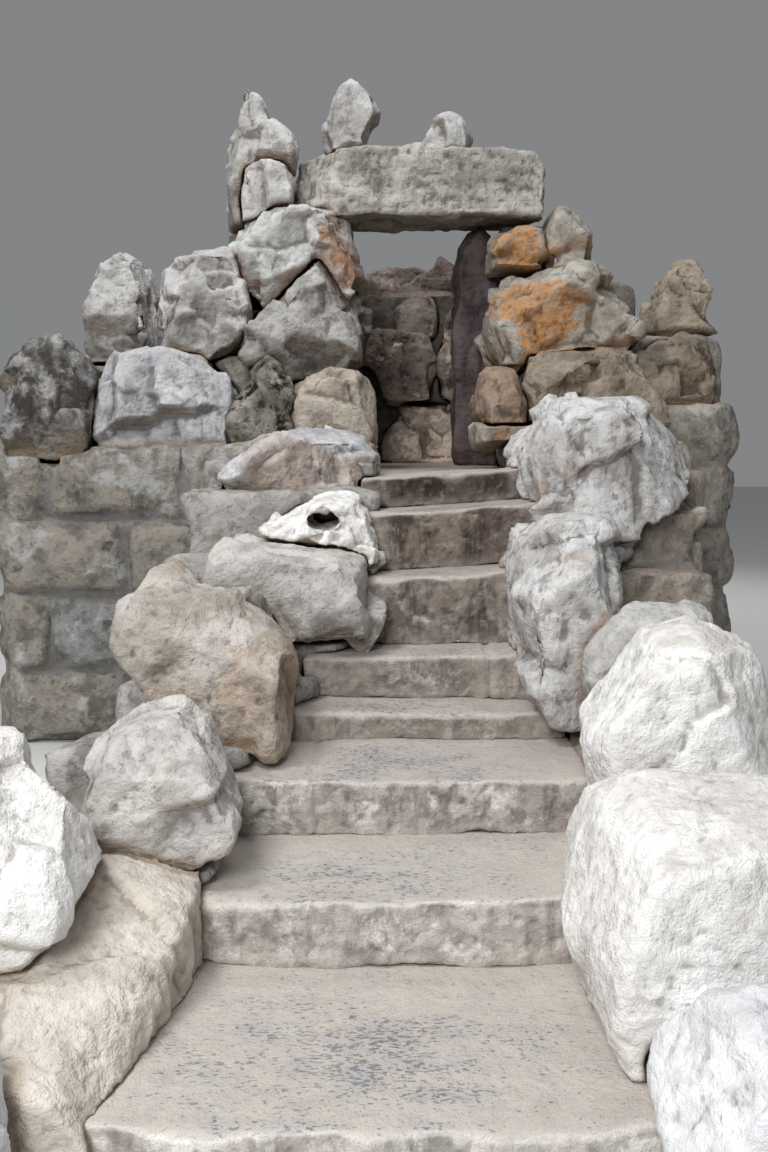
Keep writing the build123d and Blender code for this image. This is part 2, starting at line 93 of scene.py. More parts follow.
def noise(points, size, seed):
    """Smooth noise from -1 to 1 with features about as large as the size."""
    scaled = points / np.asarray(size, float)
    base = np.floor(scaled)
    part = scaled - base
    part = part * part * part * (part * (part * 6 - 15) + 10)
    total = np.zeros(len(points))
    for corner in np.ndindex(2, 2, 2):
        weight = np.prod(np.where(corner, part, 1 - part), axis=1)
        total += weight * hashed(base + corner, seed)
    return 2 * total - 1


def layered(points, size, seed, layers=3):
    """Noise with finer and fainter noise laid over it."""
    total = np.zeros(len(points))
    for i in range(layers):
        total += noise(points, np.asarray(size, float) / 2 ** i, seed + i) / 2 ** i
    return total


def smooth_step(values):
    """Eases values from 0 to 1."""
    values = np.clip(values, 0, 1)
    return values * values * (3 - 2 * values)


def warped(points, size, share, seed):
    """Points shifted by noise, so that what is laid over them loses its straight edges."""
    shift = np.stack([noise(points, size, seed + i) for i in range(3)], axis=1)
    return points + share * np.asarray(size, float) * shift


def cells(points, size, seed):
    """The two nearest seeds of a jittered lattice: distances, offsets and lattice cells."""
    scaled = points / np.asarray(size, float)
    base = np.floor(scaled)
    count = len(points)
    away = np.full((2, count), 9.0)
    offset = np.zeros((2, count, 3))
    owner = np.zeros((2, count, 3))
    for step in np.ndindex(3, 3, 3):
        cell = base + step - 1
        seed_point = cell + np.stack([hashed(cell, seed + i) for i in range(3)], axis=1)
        gap = scaled - seed_point
        distance = np.sqrt((gap * gap).sum(1))
        first = distance < away[0]
        second = ~first & (distance < away[1])
        away[1] = np.where(first, away[0], np.where(second, distance, away[1]))
        offset[1][first] = offset[0][first]
        owner[1][first] = owner[0][first]
        offset[1][second] = gap[second]
        owner[1][second] = cell[second]
        away[0][first] = distance[first]
        offset[0][first] = gap[first]
        owner[0][first] = cell[first]
    return away, offset, owner


def facets(points, size, seed, edge=0.1):
    """Broken relief from about -1 to 1: each cell is a plane that leans its own way."""
    away, offset, owner = cells(points, size, seed)
    planes = []
    for gap, cell in zip(offset, owner):
        slope = np.stack([hashed(cell, seed + 7 + i) for i in range(3)], axis=1) * 2 - 1
        planes.append((gap * slope).sum(1) * 1.4)
    share = 0.5 + 0.5 * smooth_step((away[1] - away[0]) / edge)
    return share * planes[0] + (1 - share) * planes[1]


def unit(vectors):
    """The vectors' directions."""
    return vectors / np.maximum(np.linalg.norm(vectors, axis=1, keepdims=True), 1e-12)


def facing(places, quads):
    """The way each quad faces, as long as twice its area."""
    return np.cross(places[quads[:, 2]] - places[quads[:, 0]], places[quads[:, 3]] - places[quads[:, 1]])


def gathered(quads, values, count):
    """Adds up at each point the values of the quads round it."""
    total = np.zeros((count, 3))
    for axis in range(3):
        for i in range(4):
            total[:, axis] += np.bincount(quads[:, i], values[:, axis], count)
    return total


def quads_round(quads, count):
    """How many quads meet at each point."""
    return np.maximum(np.bincount(quads.ravel(), minlength=count), 1)[:, None]


def surface_normals(places, corners):
    """Point normals of a mesh of quads."""
    quads = corners.reshape(-1, 4)
    return unit(gathered(quads, facing(places, quads), len(places)))


def hollowness(places, normals, corners, voxel):
    """Positive in creases and negative on edges, about -1 to 1."""
    quads = corners.reshape(-1, 4)
    centres = places[quads].mean(1)
    number = quads_round(quads, len(places))
    average = gathered(quads, centres, len(places)) / number
    for _ in range(2):
        average = gathered(quads, average[quads].mean(1), len(places)) / number
    return np.clip(((average - places) * normals).sum(1) / voxel * 3.0, -1, 1)


def recessed(places, normals, corners, rounds):
    """How far in metres each point lies below the middle of its wider neighbourhood."""
    quads = corners.reshape(-1, 4)
    number = quads_round(quads, len(places))
    average = places
    for _ in range(rounds):
        average = gathered(quads, average[quads].mean(1), len(places)) / number
    return ((average - places) * normals).sum(1)


def crisped(places, corners, rounds):
    """Flat facets that meet in ridges: the quads' directions are evened out, but not across a ridge."""
    quads = corners.reshape(-1, 4)
    count = len(places)
    edges = ring_edges(quads).astype(np.int64)
    key = edges.min(1) * count + edges.max(1)
    order = np.argsort(key, kind="stable")
    owner = np.tile(np.arange(len(quads)), 4)[order]
    shared = key[order][1:] == key[order][:-1]
    one, two = owner[:-1][shared], owner[1:][shared]
    ways = unit(facing(places, quads))
    for _ in range(rounds):
        alike = np.exp(((ways[one] * ways[two]).sum(1) - 1) / RIDGE)[:, None]
        total = ways.copy()
        for axis in range(3):
            total[:, axis] += np.bincount(one, (alike * ways[two])[:, axis], len(quads))
            total[:, axis] += np.bincount(two, (alike * ways[one])[:, axis], len(quads))
        ways = unit(total)
    number = quads_round(quads, count)
    for _ in range(rounds):
        centres = places[quads].mean(1)
        shift = np.zeros((count, 3))
        for i in range(4):
            push = ways * ((centres - places[quads[:, i]]) * ways).sum(1)[:, None]
            for axis in range(3):
                shift[:, axis] += np.bincount(quads[:, i], push[:, axis], count)
        places = places + shift / number
    return places


def ring_edges(faces):
    """The edges of faces that have the same number of corners each."""
    count = faces.shape[1]
    return np.concatenate([faces[:, [i, (i + 1) % count]] for i in range(count)])


def linked(edges, count):
    """For each point the lowest one that it hangs together with along the edges."""
    group = np.arange(count)
    while True:
        lowest = group[edges].min(1)
        merged = group.copy()
        np.minimum.at(merged, edges[:, 0], lowest)
        np.minimum.at(merged, edges[:, 1], lowest)
        merged = merged[merged]
        if (merged == group).all():
            return group
        group = merged


def cleaved(places, normals, size, seed, share, edge=0.06):
    """Points drawn on to flat facets, one for each cell and side of the stone."""
    away, _, owner = cells(warped(places, size, 0.15, seed), size, seed)
    axis = np.abs(normals).argmax(1)
    side = 2 * axis + (np.take_along_axis(normals, axis[:, None], 1)[:, 0] > 0)
    keys = []
    for cell in owner.astype(np.int64) + 4096:
        keys.append(((cell[:, 0] * 8192 + cell[:, 1]) * 8192 + cell[:, 2]) * 6 + side)
    groups, index, counts = np.unique(keys[0], return_inverse=True, return_counts=True)
    index = index.reshape(-1)
    centre = np.stack([np.bincount(index, places[:, i]) for i in range(3)], axis=1) / counts[:, None]
    way = unit(np.stack([np.bincount(index, normals[:, i]) for i in range(3)], axis=1))
    own = 0.5 + 0.5 * smooth_step((away[1] - away[0]) / edge)
    moved = np.zeros_like(places)
    for key, weight in ((keys[0], own), (keys[1], 1 - own)):
        at = np.minimum(np.searchsorted(groups, key), len(groups) - 1)
        at = np.where(groups[at] == key, at, index)
        proud = ((places - centre[at]) * way[at]).sum(1)
        fitting = smooth_step(2.5 * (normals * way[at]).sum(1) - 0.75)
        limit = 0.16 * size
        moved += (weight * fitting * limit * np.tanh(proud / limit))[:, None] * way[at]
    return places - share * moved


def pits(points, size, seed, share=0.5):
    """Round hollows from 0 to 1, in some of the cells only."""
    away, _, owner = cells(points, size, seed)
    chosen = hashed(owner[0], seed + 5) < share
    return np.where(chosen, smooth_step(1 - away[0] / 0.55), 0)


def solids_of(node):
    """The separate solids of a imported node, each as points and triangles."""
    mesh = node.data
    mesh.calc_loop_triangles()
    points = np.zeros(len(mesh.vertices) * 3)
    mesh.vertices.foreach_get("co", points)
    corners = np.zeros(len(mesh.loop_triangles) * 3, np.int32)
    mesh.loop_triangles.foreach_get("vertices", corners)
    keys, index = np.unique(points.reshape(-1, 3).round(5), axis=0, return_inverse=True)
    triangles = index.reshape(-1)[corners].reshape(-1, 3)
    group = linked(ring_edges(triangles), len(keys))
    return [(keys, triangles[group[triangles[:, 0]] == root]) for root in np.unique(group[triangles])]


def remeshed(points, triangles, voxel, wear):
    """One solid with even quads, its edges rounded by some passes of smoothing."""
    used, index = np.unique(triangles, return_inverse=True)
    mesh = bpy.data.meshes.new("blank")
    mesh.from_pydata(points[used].tolist(), [], index.reshape(-1, 3).tolist())
    blank = bpy.data.objects.new("blank", mesh)
    bpy.context.scene.collection.objects.link(blank)
    grid = blank.modifiers.new("grid", "REMESH")
    grid.mode = "VOXEL"
    grid.voxel_size = voxel
    soften = blank.modifiers.new("soften", "SMOOTH")
    soften.factor = 0.5
    soften.iterations = wear
    shown = blank.evaluated_get(bpy.context.evaluated_depsgraph_get())
    result = shown.to_mesh()
    count = len(result.vertices)
    places = np.zeros(count * 3)
    normals = np.zeros(count * 3)
    result.vertices.foreach_get("co", places)
    result.vertices.foreach_get("normal", normals)
    corners = np.zeros(len(result.loops), np.int32)
    result.loops.foreach_get("vertex_index", corners)
    shown.to_mesh_clear()
    bpy.data.objects.remove(blank)
    bpy.data.meshes.remove(mesh)
    return places.reshape(-1, 3), normals.reshape(-1, 3), corners


def neighbours_of(name):
    """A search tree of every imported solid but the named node's."""
    points = []
    faces = []
    for other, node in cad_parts.items():
        if other == name:
            continue
        start = len(points)
        points += [tuple(vertex.co) for vertex in node.data.vertices]
        faces += [[start + i for i in polygon.vertices] for polygon in node.data.polygons]
    return BVHTree.FromPolygons(points, faces)


def contact(places, tree):
    """How far each point is from the nearest other stone, up to the reach."""
    found = np.full(len(places), CONTACT_REACH)
    for i, place in enumerate(places.tolist()):
        distance = tree.find_nearest(place, CONTACT_REACH)[3]
        if distance is not None:
            found[i] = distance
    return found


def rock_shape(places, normals, corners, away, look, seed):
    """A natural stone: lumps broken into large and small facets, with finer relief on them."""
    lump = look["lump"] * layered(places, look.get("lump_size", 0.36), seed + 11, 2)
    places = places + normals * lump[:, None]
    free = smooth_step(away / STONE_FREE_AT)
    size = look.get("facet", 0.30)
    for i, (share, depth) in enumerate(((1.0, 1.0), (0.38, look.get("small", 0.2)))):
        normals = surface_normals(places, corners)
        bent = warped(places, 0.5 * size, 0.08, seed + 23 + i)
        broken = depth * look["break"] * facets(bent, share * size, seed + 33 + i, 0.05)
        places = places + normals * (free * broken)[:, None]
    if "crisp" in look:
        places = places + free[:, None] * (crisped(places, corners, look["crisp"]) - places)
    normals = surface_normals(places, corners)
    knobs = look["chip"] * layered(places, 0.13, seed + 31, 2)
    if "flute" in look:
        upright = warped(places, 0.2, 0.2, seed + 79) * (1.0, 1.0, 0.2)
        steep = smooth_step(1.3 - 1.6 * np.abs(normals[:, 2]))
        knobs += steep * look["flute"] * (1 - 2 * np.abs(layered(upright, 0.12, seed + 81, 2)))
    if "bed" in look:
        knobs += look["bed"] * facets(places * (0.35, 0.35, 1.0), 0.07, seed + 71, 0.12)
    places = places + normals * knobs[:, None]
    normals = surface_normals(places, corners)
    fine = 0.004 * facets(places, 0.036, seed + 41, 0.3)
    fine += 0.002 * layered(places, 0.02, seed + 51, 2)
    if "pit" in look:
        bent = warped(places, 0.16, 0.25, seed)
        fine -= look["pit"] * pits(bent, look["pit_size"], seed + 61, look.get("pit_share", 0.4))
    return places + normals * fine[:, None]


def rubble_shape(places, normals, corners, look, seed):
    """A wall's stones broken into facets, with the mortar's share and a tone for each stone."""
    mortar = smooth_step((recessed(places, normals, corners, MORTAR_ROUNDS) - 0.002) / 0.010)
    stone = (1 - mortar)[:, None]
    edges = ring_edges(corners.reshape(-1, 4))
    group = linked(edges[(mortar < 0.4)[edges].all(1)], len(places))
    tone = hashed(np.stack([group] * 3, axis=1), seed + 29)
    lump = look["lump"] * layered(places, 0.24, seed + 11, 2)
    lump += look.get("bed", 0.0) * facets(places * (0.35, 0.35, 1.0), 0.08, seed + 71, 0.12)
    broken = places + normals * lump[:, None]
    broken = cleaved(broken, surface_normals(broken, corners), 0.20, seed + 23, 0.9)
    normals = surface_normals(broken, corners)
    chips = 0.010 * layered(broken, 0.10, seed + 31, 2)
    broken = broken + normals * chips[:, None]
    broken = cleaved(broken, surface_normals(broken, corners), 0.09, seed + 37, 0.7, 0.10)
    rough = 0.005 * layered(places, 0.07, seed + 41, 2)
    return stone * broken + (1 - stone) * (places + normals * rough[:, None]), mortar, tone


def tread_shape(places, normals, corners, away, seed):
    """A step slab: a worn top with dust in its corners, a cleaved front and a chipped nosing."""
    up = smooth_step((normals[:, 2] - 0.35) / 0.5)[:, None]
    front = smooth_step((-normals[:, 1] - 0.3) / 0.5)[:, None]
    bent = warped(places, 0.10, 0.3, seed)
    top = 0.004 * layered(places, 0.30, seed + 3, 3) + 0.0015 * facets(bent, 0.05, seed + 5, 0.3)
    face = 0.016 * layered(places * (1.1, 1.0, 0.8), 0.17, seed + 7, 2)
    broken = places + normals * face[:, None]
    broken = cleaved(broken, surface_normals(broken, corners), 0.15, seed + 15, 0.8)
    fine = 0.006 * facets(bent, 0.05, seed + 9, 0.2) + 0.003 * layered(places, 0.03, seed + 13, 2)
    broken = broken + normals * fine[:, None]
    edge = ((1 - up) * (1 - front))[:, 0]
    chips = 0.020 * edge * smooth_step(noise(places, 0.09, seed + 17) * 1.6)
    worn = places + normals * top[:, None]
    moved = up * worn + (1 - up) * broken - normals * chips[:, None]
    dust = DUST_HEIGHT * np.exp(-away / DUST_WIDTH) * smooth_step((normals[:, 2] - 0.6) / 0.3)
    moved[:, 2] += dust
    return moved


def scoured(places, low, high, seed):
    """From 0 at a tread's edges to 1 where feet have worn its middle."""
    across = (places[:, 0] - low[0]) / (high[0] - low[0])
    along = (places[:, 1] - low[1]) / (high[1] - low[1])
    middle = np.exp(-((across - 0.48) / 0.36) ** 2 - ((along - 0.34) / 0.38) ** 2)
    return np.clip(middle + 0.30 * layered(places, (0.30, 0.14, 0.3), seed + 43, 3) - 0.05, 0, 1)


def painted(places, low, high, spots):
    """A mask from 0 to 1 of spots given as shares of the node's box, with a radius in metres."""
    mask = np.zeros(len(places))
    for u, v, w, radius in spots:
        centre = low + (high - low) * np.array([u, v, w])
        away = np.sqrt(((places - centre) ** 2).sum(1))
        mask = np.maximum(mask, smooth_step(1.4 - away / radius))
    return mask


def assembled(name, places, corners, layers):
    """A smooth-shaded mesh object with one number per point for each named layer."""
    mesh = bpy.data.meshes.new(name)
    mesh.vertices.add(len(places))
    mesh.vertices.foreach_set("co", places.astype(np.float32).ravel())
    mesh.loops.add(len(corners))
    mesh.loops.foreach_set("vertex_index", corners.astype(np.int32))
    mesh.polygons.add(len(corners) // 4)
    mesh.polygons.foreach_set("loop_start", np.arange(0, len(corners), 4, dtype=np.int32))
    mesh.polygons.foreach_set("use_smooth", np.ones(len(corners) // 4, bool))
    mesh.update(calc_edges=True)
    for layer, values in layers.items():
        attribute = mesh.attributes.new(layer, "FLOAT", "POINT")
        attribute.data.foreach_set("value", values.astype(np.float32))
    piece = bpy.data.objects.new(name, mesh)
    bpy.context.scene.collection.objects.link(piece)
    return piece


def bridged(solids, voxel):
    """The solids of a slab stretched over the joints between them, and where along x the joints lie."""
    keys = solids[0][0].copy()
    spans = sorted((keys[triangles, 0].min(), keys[triangles, 0].max()) for _, triangles in solids)
    seams = []
    for near, far in zip(spans, spans[1:]):
        seams.append((near[1] + far[0]) / 2)
        keys[np.abs(keys[:, 0] - near[1]) < 1e-4, 0] = far[0] + voxel
    return [(keys, np.concatenate([triangles for _, triangles in solids]))], seams


def dressed(name, look, material, seed):
    """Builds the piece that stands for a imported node, and counts its triangles."""
    low, high = (np.array(corner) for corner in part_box(name))
    solids = solids_of(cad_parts[name])
    seams = []
    if look.get("jointed") and len(solids) > 1:
        solids, seams = bridged(solids, look["voxel"])
    parts = [remeshed(*solid, look["voxel"], look["wear"]) for solid in solids]
    places, normals = (np.concatenate([part[i] for part in parts]) for i in range(2))
    starts = np.cumsum([0] + [len(part[0]) for part in parts])
    corners = np.concatenate([part[2] + start for part, start in zip(parts, starts)])
    away = contact(places, neighbours_of(name))
    tone = np.full(len(places), 0.5)
    mortar = np.zeros(len(places))
    if look["kind"] == "rock":
        moved = rock_shape(places, normals, corners, away, look, seed)
    elif look["kind"] == "tread":
        moved = tread_shape(places, normals, corners, away, seed)
    else:
        moved, mortar, tone = rubble_shape(places, normals, corners, look, seed)
        moved = places + (moved - places) * smooth_step(away / WALL_FREE_AT)[:, None]
    moved -= normals * (look.get("groove", GROOVE_DEPTH) * np.exp(-away / GROOVE_WIDTH))[:, None]
    for seam in seams:
        off = np.abs(places[:, 0] + 0.012 * noise(places, 0.08, seed + 47) - seam)
        moved -= normals * (SEAM_DEPTH * np.exp(-(off / SEAM_WIDTH) ** 2))[:, None]
        away = np.minimum(away, off)
    grounded = places[:, 2] < GROUND_BAND
    moved[:, 2] = np.where(grounded, np.minimum(moved[:, 2], places[:, 2]), moved[:, 2])
    moved[:, 2] = np.maximum(moved[:, 2], 0.0)
    layers = {
        "joint": np.exp(-away / DUST_WIDTH),
        "gap_shadow": look.get("gap_shadow", 0.0) * np.exp(-away / GAP_SHADOW_WIDTH),
        "worn": scoured(places, low, high, seed) if look["kind"] == "tread" else np.zeros(len(places)),
        "hollow": hollowness(moved, surface_normals(moved, corners), corners, look["voxel"]),
        "mortar": mortar,
        "tone": tone,
        "warm": painted(places, low, high, look.get("warm", [])),
        "shade": painted(places, low, high, look.get("shade", [])),
    }
    piece = assembled(f"{name}_stone", moved, corners, layers)
    piece.data.materials.append(material)
    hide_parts(name)
    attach(piece, "root")
    return len(corners) // 2


def scaled(colour, share):
    """A colour made darker or lighter."""
    return [share * c for c in colour]


def blended(one, share, two, other_share):
    """Two colours added, each times its share."""
    return [share * a + other_share * b for a, b in zip(one, two)]


class Nodes:
    """Short calls for the nodes of one material."""

    def __init__(self, name):
        self.material = bpy.data.materials.new(name)
        self.material.use_nodes = True
        self.tree = self.material.node_tree
        self.shader = self.tree.nodes["Principled BSDF"]

    def add(self, kind, outlet=0, inputs=None, **settings):
        """Adds a node, sets it up and gives one of its outlets."""
        node = self.tree.nodes.new(kind)
        for key, value in settings.items():
            setattr(node, key, value)
        for key, value in (inputs or {}).items():
            if isinstance(value, bpy.types.NodeSocket):
                self.tree.links.new(value, node.inputs[key])
            else:
                node.inputs[key].default_value = value
        return node.outputs[outlet]

    def layer(self, name):
        return self.add("ShaderNodeAttribute", "Fac", attribute_name=name)

    def noise(self, where, scale, detail=4.0, rough=0.55, twist=0.0):
        inputs = {"Vector": where, "Scale": scale, "Detail": detail}
        inputs |= {"Roughness": rough, "Distortion": twist}
        return self.add("ShaderNodeTexNoise", "Fac", inputs)

    def stretch(self, where, scale):
        return self.add("ShaderNodeMapping", 0, {"Vector": where, "Scale": scale})

    def ramp(self, value, low, high, floor=0.0, top=1.0):
        inputs = {"Value": value, "From Min": low, "From Max": high, "To Min": floor, "To Max": top}
        return self.add("ShaderNodeMapRange", 0, inputs, interpolation_type="SMOOTHSTEP")

    def bent(self, where, scale, amount):
        """Places shifted by noise, up to about the amount in metres."""
        swirl = self.add("ShaderNodeTexNoise", "Color", {"Vector": where, "Scale": scale, "Detail": 2.0})
        middle = self.add("ShaderNodeVectorMath", 0, {0: swirl, 1: (0.5, 0.5, 0.5)}, operation="SUBTRACT")
        shift = self.add("ShaderNodeVectorMath", 0, {0: middle, 1: (amount,) * 3}, operation="MULTIPLY")
        return self.add("ShaderNodeVectorMath", 0, {0: where, 1: shift}, operation="ADD")

    def cleavage(self, where, scale):
        """Height in metres of small broken planes that lean their own ways, and a tone for each."""
        cell = self.tree.nodes.new("ShaderNodeTexVoronoi")
        cell.inputs["Scale"].default_value = scale
        self.tree.links.new(where, cell.inputs["Vector"])
        gap = self.add("ShaderNodeVectorMath", 0, {0: where, 1: cell.outputs["Position"]},
                       operation="SUBTRACT")
        lean = self.add("ShaderNodeVectorMath", 0, {0: cell.outputs["Color"], 1: (0.5, 0.5, 0.5)},
                        operation="SUBTRACT")
        plane = self.add("ShaderNodeVectorMath", "Value", {0: gap, 1: lean}, operation="DOT_PRODUCT")
        tone = self.add("ShaderNodeSeparateXYZ", 0, {"Vector": cell.outputs["Color"]})
        return self.math("MULTIPLY", plane, self.ramp(cell.outputs["Distance"], 0.75, 0.25)), tone

    def math(self, operation, a, b):
        return self.add("ShaderNodeMath", 0, {0: a, 1: b}, operation=operation)

    def mix(self, share, a, b):
        inputs = {"Factor": share, "A": a, "B": b}
        node = self.tree.nodes.new("ShaderNodeMix")
        node.data_type = "RGBA"
        for key, value in inputs.items():
            socket = [s for s in node.inputs if s.name == key and s.enabled][0]
            if isinstance(value, bpy.types.NodeSocket):
                self.tree.links.new(value, socket)
            elif key == "Factor":
                socket.default_value = value
            else:
                socket.default_value = (*value, 1.0)
        return [s for s in node.outputs if s.enabled][0]

    def summed(self, shares):
        """Adds up values, each times its share."""
        total = None
        for value, share in shares:
            part = self.math("MULTIPLY", value, share)
            total = self.math("ADD", total, part) if total else part
        return total

    def finish(self, colour, height, strength, roughness):
        """Links the colour, the height in metres and the roughness to the shader."""
        self.tree.links.new(colour, self.shader.inputs["Base Color"])
        bump = self.add("ShaderNodeBump", 0, {"Height": height, "Strength": strength, "Distance": 1.0})
        self.tree.links.new(bump, self.shader.inputs["Normal"])
        self.tree.links.new(roughness, self.shader.inputs["Roughness"])
        self.shader.inputs["Specular IOR Level"].default_value = 0.25
        return self.material


def limestone(name, base, pale, dark, warm, stain=0.5, streak=0.3, warmth=0.35, fleck=0.5, rugged=1.0,
              grime=0.2, top_light_underside_shade=0.0, cover=0.50):
    """Weathered limestone: broken grain, pale worn edges, grey stains, ochre patches and pitting, with
    painted shade in its hollows, on faces that look down and beside other stones, and painted light on
    faces that look up; on the recess stone the pale patches are partly painted light.
    """
    n = Nodes(name)
    where = n.add("ShaderNodeTexCoord", "Object")
    shape = n.add("ShaderNodeNewGeometry", "Normal")
    up = n.add("ShaderNodeSeparateXYZ", 2, {"Vector": shape})
    bent = n.bent(where, 7.0, 0.05)
    broad = n.noise(where, 2.3, 4.0, 0.6, 0.4)
    mid = n.noise(bent, 8.5, 5.0, 0.68)
    small = n.noise(where, 34.0, 4.0, 0.68)
    grit = n.noise(where, 150.0, 1.0, 0.6)
    block, block_tone = n.cleavage(bent, 9.0)
    flake, flake_tone = n.cleavage(bent, 27.0)
    hollow = n.layer("hollow")
    colour = n.mix(n.ramp(broad, 0.38, 0.62), base, pale)
    colour = n.mix(n.ramp(block_tone, 0.45, 1.0, 0.0, 0.30), colour, dark)
    colour = n.mix(n.ramp(flake_tone, 0.6, 1.0, 0.0, 0.22), colour, dark)
    stained = n.math("MULTIPLY", n.ramp(mid, cover, cover + 0.14), stain)
    colour = n.mix(stained, colour, dark)
    upright = n.stretch(where, (7.0, 7.0, 0.9))
    run = n.ramp(n.noise(upright, 1.6, 5.0, 0.62), 0.52, 0.66)
    steep = n.ramp(up, 0.75, 0.2)
    colour = n.mix(n.math("MULTIPLY", n.math("MULTIPLY", run, steep), streak), colour, dark)
    cloud = n.ramp(n.noise(bent, 3.4, 6.0, 0.68, 0.4), 0.42, 0.72, -0.5, 0.6)
    patch = n.math("ADD", n.layer("warm"), cloud)
    patch = n.math("MULTIPLY", n.ramp(patch, 0.15, 0.60), n.ramp(small, 0.3, 0.6, 0.8, 1.0))
    # Rust and ochre patches; on the recess stone the pale patches are partly painted light.
    rust_and_painted_light = n.mix(n.ramp(mid, 0.46, 0.60), warm, blended(warm, 0.5, dark, 0.2))
    rust_and_painted_light = n.mix(n.ramp(block_tone, 0.5, 0.9, 0.0, 0.6), rust_and_painted_light, blended(warm, 0.55, pale, 0.4))
    rust_and_painted_light = n.mix(n.ramp(small, 0.52, 0.66, 0.0, 0.5), rust_and_painted_light, blended(warm, 0.35, dark, 0.3))
    colour = n.mix(n.math("MULTIPLY", patch, warmth), colour, rust_and_painted_light)
    edge = n.math("MULTIPLY", n.ramp(hollow, 0.0, -0.7), n.ramp(small, 0.35, 0.6))
    colour = n.mix(n.math("MULTIPLY", edge, 0.4), colour, pale)
    # Painted shade: darker in the hollows and creases.
    colour = n.mix(n.ramp(hollow, 0.15, 0.85, 0.0, 0.65), colour, scaled(dark, 0.6))
    # Painted light and shade: paler on faces that look up, darker on faces that look down.
    colour = n.mix(n.ramp(up, 0.15, 0.85, 0.0, top_light_underside_shade), colour, pale)
    colour = n.mix(n.ramp(up, 0.15, -0.30, 0.0, 1.6 * top_light_underside_shade), colour, scaled(dark, 1.2))
    speck = n.math("MULTIPLY", n.ramp(grit, 0.42, 0.58), fleck)
    speck = n.math("MULTIPLY", n.ramp(small, 0.55, 0.68), speck)
    colour = n.mix(speck, colour, dark)
    # Painted shade: darker where the look gives shade spots.
    painted_shade = n.math("MULTIPLY", n.layer("shade"), n.ramp(mid, 0.35, 0.6, 0.35, 1.0))
    colour = n.mix(painted_shade, colour, scaled(dark, 0.35))
    grimy = n.math("MULTIPLY", n.ramp(up, 0.55, 0.95), n.ramp(mid, 0.4, 0.6, 0.4 * grime, grime))
    colour = n.mix(grimy, colour, dark)
    earth_and_shade = blended(warm, 0.7, dark, 0.3)
    # Painted shade: faces that look down are drawn darker and browner.
    colour = n.mix(n.ramp(up, 0.05, -0.6, 0.0, 0.4), colour, earth_and_shade)
    # Soil and painted shade: darker and browner near the neighbouring stones.
    soil_and_shade = n.math("MULTIPLY", n.ramp(n.layer("joint"), 0.35, 0.95), n.ramp(mid, 0.3, 0.6, 0.3, 0.7))
    colour = n.mix(soil_and_shade, colour, earth_and_shade)
    # Painted shadow: near black in the narrow gap against a neighbouring stone.
    colour = n.mix(n.ramp(n.layer("gap_shadow"), 0.15, 0.5), colour, (0.02, 0.018, 0.016))
    height = n.summed([(block, 0.34 * rugged), (flake, 0.26 * rugged), (mid, 0.024 * rugged),
                       (small, 0.011), (grit, 0.0032)])
    return n.finish(colour, height, 0.9, n.ramp(mid, 0.2, 0.8, 0.82, 0.96))


